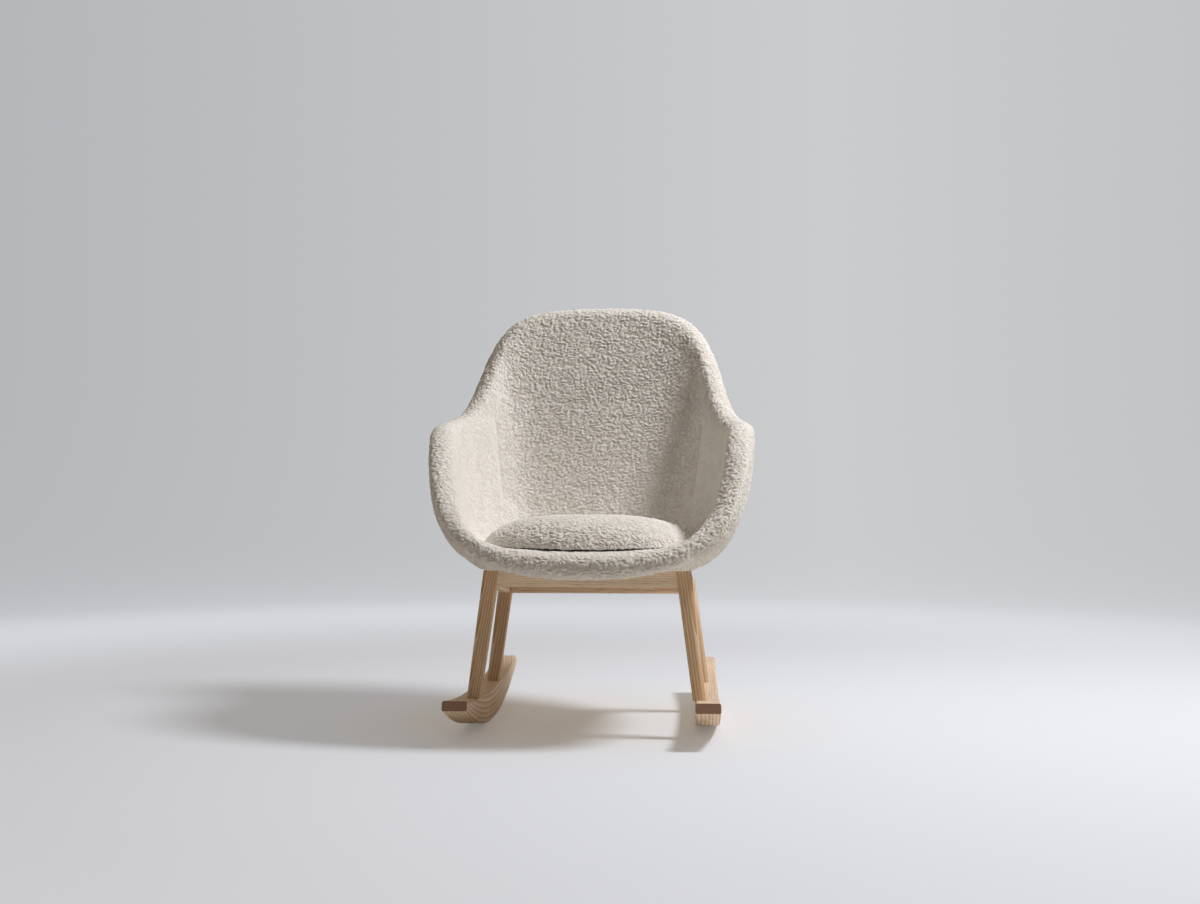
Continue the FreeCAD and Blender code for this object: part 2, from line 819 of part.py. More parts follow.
def pad_under(lift, kept=1.0):
    """Control points of the pad's underside, lifted off the shell and cut short to what is kept."""
    rows = []
    low, high = from_inside(-size("pad_gap") - lift), from_inside(-size("pad_corner_gap") - lift)
    for row, clear in zip(low, high):
        out = Vector(row[3].x, row[3].y - size("seat_middle"), 0).normalize()
        front = max(0, -out.y)
        corner = 2 * front * abs(out.x)
        eased = [a + (b - a) * corner * rise for a, b, rise in zip(row, clear, PAD_RISE)]
        share = PAD_SHARE + (PAD_FRONT - PAD_SHARE) * front ** PAD_TURN
        rows.append(split(eased, share * kept)[0])
    return rows


def pad_dome(inset):
    base = ring(pad_under(cover + gap), 3)
    center = Vector(0, size("seat_middle"), 0)
    top = size("seat_thickness") + size("pad_gap") + size("pad_thickness") - inset
    rows = []
    for point in base:
        spread = Vector(point.x, point.y, 0) - center
        spread = spread * (1 - inset / spread.Length)
        edge = center + spread + Vector(0, 0, point.z)
        full = center + spread + Vector(0, 0, point.z + SWELL * (top - point.z))
        shoulder = center + spread * CROWN_FULL + Vector(0, 0, top)
        crown = center + spread * CROWN_FLAT + Vector(0, 0, top)
        rows.append([edge, full, shoulder, crown])
    return rows


def dome_layer(first, second):
    tops = flat(ring(first, 3)) + flat(ring(second, 3))
    return closed(skin(first) + skin(second) + band(ring(first, 0), ring(second, 0)) + tops)


under, inside = pad_under(0), pad_under(cover)
pad_bottom_cover = shaped("pad_bottom_cover", bowl(under, inside))
pad_top_cover = shaped("pad_top_cover", dome_layer(pad_dome(0), pad_dome(cover)))
foam_under = pad_under(cover + gap, FOAM_SHARE)
foam_dome = pad_dome(cover + gap)
pad_faces = skin(foam_under) + skin(foam_dome) + band(ring(foam_under, 3), ring(foam_dome, 0))
pad_faces += flat(ring(foam_under, 0)) + flat(ring(foam_dome, 3))
pad_foam = shaped("pad_foam", closed(pad_faces))

doc.recompute()

nodes = [
    rocker_left, rocker_right,
    legs["front", "left"], legs["front", "right"], legs["rear", "left"], legs["rear", "right"],
    rails["front"], rails["rear"], side_rail_left, side_rail_right,
    rail_dowels, corner_blocks, mounting_board, board_screws,
    shell_bolts, bolt_washers, shell_inserts,
    shell_core, outer_foam, inner_foam, outer_cover, inner_cover,
    pad_foam, pad_top_cover, pad_bottom_cover,
]
for item in doc.Objects:
    if "Invalid" in item.State or "Error" in item.State:
        raise RuntimeError(f"{item.Label} did not build: {item.State}")
for node in nodes:
    if node.Shape.isNull() or not node.Shape.isValid() or not node.Shape.Solids:
        raise RuntimeError(f"{node.Label} is not a valid solid")
os.makedirs("parts", exist_ok=True)
for node in nodes:
    node.Shape.exportStep(f"parts/{node.Label}.step")
    print(node.Label, len(node.Shape.Solids), round(node.Shape.Volume))
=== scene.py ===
import itertools
import math

import bmesh
import bpy
import numpy as np
from mathutils import Matrix, Vector
from mathutils.bvhtree import BVHTree


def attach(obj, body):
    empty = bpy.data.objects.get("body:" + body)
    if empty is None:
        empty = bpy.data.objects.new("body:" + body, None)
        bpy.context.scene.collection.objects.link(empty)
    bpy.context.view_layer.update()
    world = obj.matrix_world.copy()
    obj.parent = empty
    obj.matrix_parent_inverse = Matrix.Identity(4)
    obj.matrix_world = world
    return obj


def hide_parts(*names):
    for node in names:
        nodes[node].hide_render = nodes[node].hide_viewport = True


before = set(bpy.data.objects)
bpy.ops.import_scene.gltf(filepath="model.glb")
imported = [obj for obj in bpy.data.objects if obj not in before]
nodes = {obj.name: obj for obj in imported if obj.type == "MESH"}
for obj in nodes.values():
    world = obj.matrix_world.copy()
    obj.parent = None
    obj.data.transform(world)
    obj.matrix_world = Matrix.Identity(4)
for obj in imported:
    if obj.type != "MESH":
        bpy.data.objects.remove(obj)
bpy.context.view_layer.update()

scene = bpy.context.scene
scene.view_settings.view_transform = "Standard"
weld = 1e-5  # m within which two points are one


# Small helpers

def linear(text):  # sRGB hex to linear RGBA
    channels = [int(text[i:i + 2], 16) / 255 for i in (1, 3, 5)]
    curve = [c / 12.92 if c <= 0.04045 else ((c + 0.055) / 1.055) ** 2.4 for c in channels]
    return curve + [1.0]


def perMetre(millimetres):  # texture scale for a feature of this size
    return 1000 / millimetres


def wavesPerMetre(millimetres):  # Blender's wave texture repeats every 2 pi / 20
    return 0.314 * perMetre(millimetres)


def newMaterial(name):
    material = bpy.data.materials.new(name)
    material.use_nodes = True
    tree = material.node_tree
    return material, tree, tree.nodes["Principled BSDF"]


def addNode(tree, kind, inputs, **settings):
    node = tree.nodes.new("ShaderNode" + kind)
    for name, value in settings.items():
        setattr(node, name, value)
    for socket, value in inputs.items():
        if isinstance(value, bpy.types.NodeSocket):
            tree.links.new(value, node.inputs[socket])
        else:
            node.inputs[socket].default_value = value
    return node


def newObject(name, mesh):
    piece = bpy.data.objects.new(name, mesh)
    scene.collection.objects.link(piece)
    return piece


def meshFrom(bm, name):
    mesh = bpy.data.meshes.new(name)
    for face in bm.faces:
        face.smooth = True
    bm.to_mesh(mesh)
    bm.free()
    return mesh


def paint(piece, material):
    piece.data.materials.clear()
    piece.data.materials.append(material)


def coordsOf(mesh):
    flat = np.empty(len(mesh.vertices) * 3, np.float32)
    mesh.vertices.foreach_get("co", flat)
    return flat.reshape(-1, 3).astype(float)


def normalsOf(mesh):
    flat = np.empty(len(mesh.vertices) * 3, np.float32)
    mesh.vertex_normals.foreach_get("vector", flat)
    return flat.reshape(-1, 3).astype(float)


def moveTo(mesh, points):
    mesh.vertices.foreach_set("co", points.astype(np.float32).ravel())
    mesh.update()


def bakeModifiers(piece):
    graph = bpy.context.evaluated_depsgraph_get()
    baked = bpy.data.meshes.new_from_object(
        piece.evaluated_get(graph), preserve_all_data_layers=True, depsgraph=graph
    )
    old, piece.data = piece.data, baked
    piece.modifiers.clear()
    bpy.data.meshes.remove(old)


# Camera, at the photograph's place

view = {
    "place": (0.1997, -2.869, 0.463),
    "lens": 42.06,  # mm on a 36 mm sensor
    "tiltUp": 1.593,  # degrees
    "turn": 3.754,
}

cameraData = bpy.data.cameras.new("camera")
cameraData.lens = view["lens"]
camera = bpy.data.objects.new("camera", cameraData)
camera.location = view["place"]
camera.rotation_euler = (
    math.radians(90 + view["tiltUp"]), 0, math.radians(view["turn"])
)
scene.collection.objects.link(camera)
scene.camera = camera


# Floor, backdrop and light

stage = {
    "radius": 4.4,  # m
    "cove": 1.2,
    "coveSteps": 16,
    "height": 5.0,
    "segments": 96,
    "floorColour": "#e7ecf6",
    "bounceColour": "#e2e0dc",  # what the chair gets back from it
    "roughness": 0.9,
    "specular": 0.1,
    # painted light that the camera alone sees over the paper, from the chair's foot outward
    "paintedBounceFoot": "#e6dacb",
    "paintedGlowNear": "#ebeef5",
    "paintedFalloffFar": "#b5b6b9",
    "paintedGlowMiddle": "#cbccce",
    "middle": 0.9,  # m across, where the painted light on the far paper is palest
    "spread": 4.0,  # m from there to the sides, darker by a painted falloff of light
    "paintedGlowShare": 0.24,  # share of that painted glow in what the camera sees by the chair, where it lightens the floor and the chair's shadow
    "shareReach": (1.15, 2.9),  # m from the chair, where the share rises to the whole
    # m from the chair, over which the painted warm bounce fades out
    "paintedBounceReach": (0.15, 0.6),
    "toneReach": (1.2, 4.0),
    "keyPlace": (1.96, -0.14, 3.0),  # m, a lamp above the chair's right
    "keyAim": (0.0, 0.0, 0.35),
    "keySize": 0.8,
    "keyWatts": 87.0,
    "keyColour": "#ffffff",
    "fillColour": "#f8e8d3",
    "fillAim": (-0.15, 0.5, 0.85),  # where it is brightest, above and behind the chair
    "fillReach": (-0.2, 1.0),  # closeness to that way, from the least fill to the most
    "fillLow": 0.03,
    "fillHigh": 0.46,
}


def paperMaterial():  # matt studio paper, with painted light that the camera alone sees: a warm bounce by the chair, a glow over the floor and its shadow, and a falloff on the far tone
    material, tree, shader = newMaterial("studio_paper")
    coords = addNode(tree, "TexCoord", {})
    place = addNode(tree, "SeparateXYZ", {0: coords.outputs["Object"]})
    # painted falloff of light: the far paper is palest in the middle and darker toward the sides
    aside = addNode(
        tree, "Math", {0: place.outputs["X"], 1: stage["middle"]}, operation="SUBTRACT"
    )
    away = addNode(tree, "Math", {0: aside.outputs["Value"]}, operation="ABSOLUTE")
    side = addNode(tree, "MapRange", {"Value": away.outputs["Value"], "From Max": stage["spread"]})
    far = addNode(
        tree, "Mix",
        {0: side.outputs["Result"], 6: linear(stage["paintedGlowMiddle"]), 7: linear(stage["paintedFalloffFar"])},
        data_type="RGBA"
    )
    distance = addNode(tree, "VectorMath", {0: coords.outputs["Object"]}, operation="LENGTH")
    low, high = stage["toneReach"]
    depth = addNode(
        tree, "MapRange", {"Value": distance.outputs["Value"], "From Min": low, "From Max": high},
        interpolation_type="SMOOTHSTEP"
    )
    # painted bounce light: a warm tone on the floor by the chair's foot, as if light came back from
    # the wood and fabric
    low, high = stage["paintedBounceReach"]
    foot = addNode(
        tree, "MapRange", {"Value": distance.outputs["Value"], "From Min": low, "From Max": high},
        interpolation_type="SMOOTHSTEP"
    )
    near = addNode(
        tree, "Mix",
        {0: foot.outputs["Result"], 6: linear(stage["paintedBounceFoot"]), 7: linear(stage["paintedGlowNear"])},
        data_type="RGBA"
    )
    tone = addNode(
        tree, "Mix", {0: depth.outputs["Result"], 6: near.outputs[2], 7: far.outputs[2]},
        data_type="RGBA"
    )
    # painted light: a camera-only emission over the paper, which lightens the floor and the chair's
    # cast shadow near the chair and makes the whole tone further out
    paintedGlow = addNode(tree, "Emission", {"Color": tone.outputs[2]})
    low, high = stage["shareReach"]
    faded = addNode(
        tree, "MapRange",
        {
            "Value": distance.outputs["Value"], "From Min": low, "From Max": high,
            "To Min": stage["paintedGlowShare"]
        },
        interpolation_type="SMOOTHSTEP"
    )
    path = addNode(tree, "LightPath", {})
    share = addNode(
        tree, "Math", {0: faded.outputs["Result"], 1: path.outputs["Is Camera Ray"]},
        operation="MULTIPLY"
    )
    colour = addNode(
        tree, "Mix",
        {
            0: path.outputs["Is Camera Ray"], 6: linear(stage["bounceColour"]),
            7: linear(stage["floorColour"])
        },
        data_type="RGBA"
    )
    tree.links.new(colour.outputs[2], shader.inputs["Base Color"])
    shader.inputs["Roughness"].default_value = stage["roughness"]
    shader.inputs["Specular IOR Level"].default_value = stage["specular"]
    mixed = addNode(
        tree, "MixShader",
        {0: share.outputs["Value"], 1: shader.outputs["BSDF"], 2: paintedGlow.outputs["Emission"]}
    )
    tree.links.new(mixed.outputs["Shader"], tree.nodes["Material Output"].inputs["Surface"])
    return material


def buildStage():
    inner = stage["radius"] - stage["cove"]
    paper = paperMaterial()
    bm = bmesh.new()
    bmesh.ops.create_circle(bm, cap_ends=True, segments=stage["segments"], radius=inner)
    floor = newObject("floor", meshFrom(bm, "floor"))
    paint(floor, paper)
    bm = bmesh.new()
    foot = bm.verts.new((inner, 0, 0))
    arc = bmesh.ops.spin(
        bm, geom=[foot], cent=(inner, 0, stage["cove"]), axis=(0, -1, 0), angle=math.pi / 2,
        steps=stage["coveSteps"]
    )
    top = [v for v in arc["geom_last"] if isinstance(v, bmesh.types.BMVert)]
    raised = bmesh.ops.extrude_vert_indiv(bm, verts=top)["verts"]
    bmesh.ops.translate(bm, verts=raised, vec=(0, 0, stage["height"]))
    bmesh.ops.spin(
        bm, geom=bm.verts[:] + bm.edges[:], cent=(0, 0, 0), axis=(0, 0, 1), angle=2 * math.pi,
        steps=stage["segments"], use_merge=True
    )
    bmesh.ops.remove_doubles(bm, verts=bm.verts, dist=weld)
    backdrop = newObject("backdrop", meshFrom(bm, "backdrop"))
    paint(backdrop, paper)
    backdrop.visible_diffuse = False  # the room's light passes the paper
    backdrop.visible_shadow = False


def buildLight():
    lamp = bpy.data.lights.new("key", "AREA")
    lamp.shape = "DISK"
    lamp.size = stage["keySize"]
    lamp.energy = stage["keyWatts"]
    lamp.color = linear(stage["keyColour"])[:3]
    key = bpy.data.objects.new("key", lamp)
    key.location = stage["keyPlace"]
    aim = Vector(stage["keyAim"]) - key.location
    key.rotation_euler = aim.to_track_quat("-Z", "Y").to_euler()
    scene.collection.objects.link(key)
    world = bpy.data.worlds.new("room")
    world.use_nodes = True
    scene.world = world
    tree = world.node_tree
    ground = tree.nodes["Background"]
    ground.inputs["Color"].default_value = linear(stage["fillColour"])
    coords = addNode(tree, "TexCoord", {})
    way = addNode(
        tree, "VectorMath", {0: coords.outputs["Object"], 1: stage["fillAim"]},
        operation="DOT_PRODUCT"
    )
    low, high = stage["fillReach"]
    level = addNode(
        tree, "MapRange",
        {
            "Value": way.outputs["Value"], "From Min": low, "From Max": high,
            "To Min": stage["fillLow"], "To Max": stage["fillHigh"]
        }
    )
    tree.links.new(level.outputs["Result"], ground.inputs["Strength"])


buildStage()
buildLight()
print("stage, light and camera set")


# Wood of the frame

# flat-sawn ash with a clear matt lacquer: open-pored bands of early wood, dense pale late wood
ash = {
    "early": "#c6986c",
    "late": "#f1d8b9",
    "pore": "#8a6040",
    "end": "#7c553f",
    "ringWidth": 3.2,  # mm
    "poreWidth": 1.1,  # mm, drawn about four times too wide, to show
    "poreLength": 26.0,  # mm
    "poreReach": (0.56, 0.72),  # noise levels between which a pore opens
    "poreShare": 0.75,
    "earlyReach": 0.6,  # share of a ring over which the pores thin out
    "latePores": 0.25,
    "poreDepth": 0.0004,  # m
    "reliefStrength": 0.5,
    "roughness": 0.5,
    "poreRoughness": 0.8,
    "specular": 0.35,
    "swaySize": 40.0,  # mm
    "shadeSize": 18.0,  # mm
    "shadeReach": (0.3, 0.7),
    "shadeRange": (0.88, 1.06),
    "flow": 0.12,  # sway and shade are drawn out along the grain by its inverse
    "endReach": (0.78, 0.9),  # how squarely a face must look along the grain to be end grain
    "endShare": 0.85,
    "wander": 0.003,  # m by which the rings sway
    "pith": 0.14,  # m from a straight piece's middle to the heart of the log
    "lean": 0.9,  # degrees between the log's line and a straight piece
    "bend": 0.0,  # m above the floor to the middle of the curve that a bent piece follows
    "firstSeed": 0.0,  # places in the noise, so that no two pieces are alike
    "seedStep": 0.37,
}
paintedBounceAsh = dict(ash, early="#eccaa0", late="#fdf3e4")  # rails, paler than the legs: painted light that stands in for the floor's bounce on them
bentAsh = dict(  # runners, whose grain follows their curve, in tones paler than the legs that are painted bounce light from the floor
    ash, early="#dcb186", late="#fdf2e3", ringWidth=5.0, wander=0.004, bend=1.0,
    firstSeed=5.1, seedStep=1.0
)
# bare beech of the hidden blocks and dowels: even, pinkish brown with short flecks
beech = dict(
    ash, early="#cf9f70", late="#ddb488", pore="#9a6d48", end="#b88a5e",
    ringWidth=2.4, poreWidth=0.9, poreLength=5.0, roughness=0.65, seedStep=1.0
)
beechHeart = (0.1, 0.1, 0.3)  # m, a point on the log's middle line


def grainLine(piece):  # the piece's longest direction and its middle
    points = coordsOf(piece.data)
    middle = points.mean(axis=0)
    spread = np.linalg.svd((points - middle).T @ (points - middle))[0]
    line = Vector(spread[:, 0])
    return (line if line[np.argmax(np.abs(line))] > 0 else -line), Vector(middle)


def upright(line):  # the turn that stands a direction on end
    return line.rotation_difference(Vector((0, 0, 1))).to_matrix()


def bentPlace(tree, place, centre):  # across the chair, and out from the middle of a curve
    arm = addNode(tree, "VectorMath", {0: place, 1: (0, 0, -centre)}, operation="ADD")
    level = addNode(
        tree, "VectorMath", {0: arm.outputs["Vector"], 1: (0, 1, 1)}, operation="MULTIPLY"
    )
    radius = addNode(tree, "VectorMath", {0: level.outputs["Vector"]}, operation="LENGTH")
    across = addNode(tree, "SeparateXYZ", {0: place})
    bent = addNode(
        tree, "CombineXYZ", {"X": across.outputs["X"], "Y": radius.outputs["Value"]}
    )
    return bent.outputs["Vector"]


def woodMaterial(name, wood, line, heart, axis, seed):
    material, tree, shader = newMaterial(name)
    coords = addNode(tree, "TexCoord", {})
    place = coords.outputs["Object"]
    if wood["bend"]:
        place = bentPlace(tree, place, wood["bend"])
    along = addNode(
        tree, "Mapping",
        {
            "Vector": coords.outputs["Object"], "Rotation": upright(line).to_euler(),
            "Location": (seed, seed, seed)
        }
    )
    flow = addNode(
        tree, "Mapping", {"Vector": along.outputs["Vector"], "Scale": (1, 1, wood["flow"])}
    )
    wander = addNode(
        tree, "TexNoise",
        {"Vector": flow.outputs["Vector"], "Scale": perMetre(wood["swaySize"]), "Detail": 2.0}
    )
    push = addNode(
        tree, "VectorMath", {0: wander.outputs["Color"], "Scale": wood["wander"]}, operation="SCALE"
    )
    log = addNode(
        tree, "Mapping",
        {
            "Vector": place, "Rotation": upright(axis).to_euler(),
            "Location": -(upright(axis) @ heart)
        }
    )
    swayed = addNode(
        tree, "VectorMath", {0: log.outputs["Vector"], 1: push.outputs["Vector"]}, operation="ADD"
    )
    rings = addNode(
        tree, "TexWave",
        {
            "Vector": swayed.outputs["Vector"], "Scale": wavesPerMetre(wood["ringWidth"]),
            "Distortion": 0.0
        },
        wave_type="RINGS", rings_direction="Z", wave_profile="SAW"
    )
    stretch = addNode(
        tree, "Mapping",
        {
            "Vector": along.outputs["Vector"],
            "Scale": (1, 1, wood["poreWidth"] / wood["poreLength"])
        }
    )
    pores = addNode(
        tree, "TexNoise",
        {"Vector": stretch.outputs["Vector"], "Scale": perMetre(wood["poreWidth"]), "Detail": 1.0}
    )
    broad = addNode(
        tree, "TexNoise",
        {"Vector": flow.outputs["Vector"], "Scale": perMetre(wood["shadeSize"]), "Detail": 1.0}
    )
    ringTone = addNode(
        tree, "Mix",
        {0: rings.outputs["Fac"], 6: linear(wood["early"]), 7: linear(wood["late"])},
        data_type="RGBA"
    )
    low, high = wood["poreReach"]
    poreMask = addNode(
        tree, "MapRange",
        {
            "Value": pores.outputs["Fac"], "From Min": low, "From Max": high,
            "To Max": wood["poreShare"]
        }
    )
    early = addNode(
        tree, "MapRange",
        {
            "Value": rings.outputs["Fac"], "From Max": wood["earlyReach"],
            "To Min": 1.0, "To Max": wood["latePores"]
        }
    )
    poreShare = addNode(
        tree, "Math", {0: poreMask.outputs["Result"], 1: early.outputs["Result"]},
        operation="MULTIPLY"
    )
    poreTone = addNode(
        tree, "Mix",
        {0: poreShare.outputs["Value"], 6: ringTone.outputs[2], 7: linear(wood["pore"])},
        data_type="RGBA"
    )
    low, high = wood["shadeReach"]
    dark, pale = wood["shadeRange"]
    shade = addNode(
        tree, "MapRange",
        {
            "Value": broad.outputs["Fac"], "From Min": low, "From Max": high,
            "To Min": dark, "To Max": pale
        }
    )
    varied = addNode(
        tree, "Mix", {0: 1.0, 6: poreTone.outputs[2], 7: shade.outputs["Result"]},
        data_type="RGBA", blend_type="MULTIPLY"
    )
    facing = addNode(
        tree, "VectorMath", {0: coords.outputs["Normal"], 1: line}, operation="DOT_PRODUCT"
    )
    turned = addNode(tree, "Math", {0: facing.outputs["Value"]}, operation="ABSOLUTE")
    low, high = wood["endReach"]
    endMask = addNode(
        tree, "MapRange",
        {
            "Value": turned.outputs["Value"], "From Min": low, "From Max": high,
            "To Max": wood["endShare"]
        }
    )
    ended = addNode(
        tree, "Mix",
        {0: endMask.outputs["Result"], 6: varied.outputs[2], 7: linear(wood["end"])},
        data_type="RGBA"
    )
    tree.links.new(ended.outputs[2], shader.inputs["Base Color"])
    gloss = addNode(
        tree, "MapRange",
        {
            "Value": poreShare.outputs["Value"], "To Min": wood["roughness"],
            "To Max": wood["poreRoughness"]
        }
    )
    tree.links.new(gloss.outputs["Result"], shader.inputs["Roughness"])
    relief = addNode(
        tree, "Bump",
        {
            "Height": poreShare.outputs["Value"], "Strength": wood["reliefStrength"],
            "Distance": wood["poreDepth"]
        },
        invert=True
    )
    tree.links.new(relief.outputs["Normal"], shader.inputs["Normal"])
    shader.inputs["Specular IOR Level"].default_value = wood["specular"]
    return material


straightPieces = {  # the wood, and the side on which the log's heart lies, in degrees
    "front_leg_left": (ash, 40), "front_leg_right": (ash, 130), "rear_leg_left": (ash, 50),
    "rear_leg_right": (ash, 140), "front_rail": (paintedBounceAsh, 35), "rear_rail": (paintedBounceAsh, 55),
    "side_rail_left": (paintedBounceAsh, 45), "side_rail_right": (paintedBounceAsh, 130),
}
runners = {"rocker_left": 225, "rocker_right": 225}  # the heart's side, in degrees


def seedOf(wood, order):
    return wood["firstSeed"] + wood["seedStep"] * order


def finishWood():
    for order, (name, (wood, side)) in enumerate(straightPieces.items()):
        line, middle = grainLine(nodes[name])
        back = upright(line).transposed()
        around = math.radians(side)
        heart = middle + back @ Vector((math.cos(around), math.sin(around), 0)) * wood["pith"]
        lean = math.radians(wood["lean"])
        axis = back @ Vector((math.sin(lean), 0, math.cos(lean)))
        seed = seedOf(wood, order)
        paint(nodes[name], woodMaterial("lacquered_ash_" + name, wood, line, heart, axis, seed))
    for order, (name, side) in enumerate(runners.items()):
        middle = grainLine(nodes[name])[1]
        around = math.radians(side)
        heart = Vector((middle.x, bentAsh["bend"], 0))
        heart += Vector((math.cos(around), math.sin(around), 0)) * bentAsh["pith"]
        line, axis, seed = Vector((0, 1, 0)), Vector((0, 0, 1)), seedOf(bentAsh, order)
        finish = woodMaterial("lacquered_ash_" + name, bentAsh, line, heart, axis, seed)
        paint(nodes[name], finish)
    for order, name in enumerate(("corner_blocks", "rail_dowels")):
        heart, axis, seed = Vector(beechHeart), Vector((1, 0, 0)), seedOf(beech, order)
        paint(nodes[name], woodMaterial("bare_beech_" + name, beech, axis, heart, axis, seed))


finishWood()
print("wood finished")


# Board and fixings

board = {  # sanded birch plywood: pale rotary-cut faces, thin plies that show on the edges
    "face": "#dcc19a",
    "vein": "#c9a578",
    "ply": "#a98358",
    "plyThickness": 1.5,  # mm
    "veinWidth": 9.0,  # mm
    "veinStretch": 0.12,  # veins run across the chair, longer by its inverse
    "veinDepth": 0.0003,  # m
    "reliefStrength": 0.25,
    "roughness": 0.6,
    "tilt": 6.5,  # degrees, as the seat
    "up": (0, 0.113, 0.994),
}
metals = {  # each mottled from a clean colour to a duller, rougher one
    "zinc_steel": {"colour": "#b9bec4", "dull": "#8d949c", "roughness": 0.38},  # plated, bluish
    "brass": {"colour": "#c9a35c", "dull": "#94723a", "roughness": 0.32},  # turned, browning
}
mottle = {"size": 3.0, "roughness": 0.15}  # mm, and what the dull places add
core = {  # moulded polypropylene: near black, with a faint grit
    "colour": "#2b2b2d",
    "pale": "#363638",
    "grit": 0.8,  # mm
    "gritDepth": 0.0003,  # m
    "reliefStrength": 0.3,
    "roughness": 0.55,
}


def plywoodMaterial():
    material, tree, shader = newMaterial("birch_plywood")
    coords = addNode(tree, "TexCoord", {})
    level = addNode(
        tree, "Mapping",
        {"Vector": coords.outputs["Object"], "Rotation": (math.radians(board["tilt"]), 0, 0)}
    )
    broad = addNode(
        tree, "Mapping",
        {"Vector": level.outputs["Vector"], "Scale": (board["veinStretch"], 1, 1)}
    )
    veins = addNode(
        tree, "TexNoise",
        {"Vector": broad.outputs["Vector"], "Scale": perMetre(board["veinWidth"]), "Detail": 4.0}
    )
    face = addNode(
        tree, "Mix",
        {0: veins.outputs["Fac"], 6: linear(board["face"]), 7: linear(board["vein"])},
        data_type="RGBA"
    )
    plies = addNode(
        tree, "TexWave",
        {"Vector": level.outputs["Vector"], "Scale": wavesPerMetre(2 * board["plyThickness"])},
        wave_type="BANDS", bands_direction="Z", wave_profile="SIN"
    )
    edge = addNode(
        tree, "Mix",
        {0: plies.outputs["Fac"], 6: linear(board["face"]), 7: linear(board["ply"])},
        data_type="RGBA"
    )
    facing = addNode(
        tree, "VectorMath", {0: coords.outputs["Normal"], 1: board["up"]}, operation="DOT_PRODUCT"
    )
    flat = addNode(tree, "Math", {0: facing.outputs["Value"]}, operation="ABSOLUTE")
    mixed = addNode(
        tree, "Mix",
        {0: flat.outputs["Value"], 6: edge.outputs[2], 7: face.outputs[2]}, data_type="RGBA"
    )
    tree.links.new(mixed.outputs[2], shader.inputs["Base Color"])
    relief = addNode(
        tree, "Bump",
        {
            "Height": veins.outputs["Fac"], "Strength": board["reliefStrength"],
            "Distance": board["veinDepth"]
        }
    )
    tree.links.new(relief.outputs["Normal"], shader.inputs["Normal"])
    shader.inputs["Roughness"].default_value = board["roughness"]
    return material


def metalMaterial(name, metal):
    material, tree, shader = newMaterial(name)
    coords = addNode(tree, "TexCoord", {})
    spots = addNode(
        tree, "TexNoise",
        {"Vector": coords.outputs["Object"], "Scale": perMetre(mottle["size"]), "Detail": 3.0}
    )
    tone = addNode(
        tree, "Mix",
        {0: spots.outputs["Fac"], 6: linear(metal["colour"]), 7: linear(metal["dull"])},
        data_type="RGBA"
    )
    tree.links.new(tone.outputs[2], shader.inputs["Base Color"])
    rough = addNode(
        tree, "MapRange",
        {
            "Value": spots.outputs["Fac"], "To Min": metal["roughness"],
            "To Max": metal["roughness"] + mottle["roughness"]
        }
    )
    tree.links.new(rough.outputs["Result"], shader.inputs["Roughness"])
    shader.inputs["Metallic"].default_value = 1.0
    return material


def coreMaterial():
    material, tree, shader = newMaterial("moulded_polypropylene")
    coords = addNode(tree, "TexCoord", {})
    grit = addNode(
        tree, "TexNoise",
        {"Vector": coords.outputs["Object"], "Scale": perMetre(core["grit"]), "Detail": 2.0}
    )
    tone = addNode(
        tree, "Mix",
        {0: grit.outputs["Fac"], 6: linear(core["colour"]), 7: linear(core["pale"])},
        data_type="RGBA"
    )
    tree.links.new(tone.outputs[2], shader.inputs["Base Color"])
    relief = addNode(
        tree, "Bump",
        {
            "Height": grit.outputs["Fac"], "Strength": core["reliefStrength"],
            "Distance": core["gritDepth"]
        }
    )
    tree.links.new(relief.outputs["Normal"], shader.inputs["Normal"])
    shader.inputs["Roughness"].default_value = core["roughness"]
    return material


paint(nodes["mounting_board"], plywoodMaterial())
zinc = metalMaterial("zinc_plated_steel", metals["zinc_steel"])
for name in ("board_screws", "shell_bolts", "bolt_washers"):
    paint(nodes[name], zinc)
paint(nodes["shell_inserts"], metalMaterial("turned_brass", metals["brass"]))
paint(nodes["shell_core"], coreMaterial())
print("board and fixings finished")


# Upholstery

boucle = {  # looped wool pile: soft round nubs, cream on the crowns, with painted warm shade in the creases
    "crown": "#f7f5f2",
    # painted shade: the darker, warmer tone of the creases between nubs
    "crease": "#e0d6c9",
    "loop": 2.2,  # mm, single loops of yarn on a nub
    "loopDepth": 0.0012,  # m
    "reliefStrength": 0.6,
    "loopShare": 0.35,  # what the loops add to the nub's height in the painted crease shade
    "toneReach": (0.15, 0.95),  # heights from the painted crease shade to the crown colour
    "tuft": 30.0,  # mm, patches a little lighter or darker
    "tuftReach": (0.3, 0.7),
    "tuftRange": (0.95, 1.02),
    "roughness": 0.95,
    "specular": 0.15,
    "sheen": 0.35,
    "sheenRoughness": 0.6,
    "nubSize": 0.0066,  # m
    "nubHeight": 0.0034,
    "nubMiddle": 0.55,  # share of the height that lies under the stuffed shape
    "stretch": (0.7, 1.0, 1.0),  # the nubs are longer across the chair
    "turn": 18.0,  # degrees that the nubs run off level
    "creaseWidth": 0.5,  # of a nub
    "joinedAbove": 0.7,  # share of neighbours that stay apart
    "joinedHeight": 0.5,
    "lowest": 0.7,  # least height of a nub, in shares of the tallest
    "flatHeight": 0.35,  # of pile pressed flat
    "flatShare": 0.7,
}


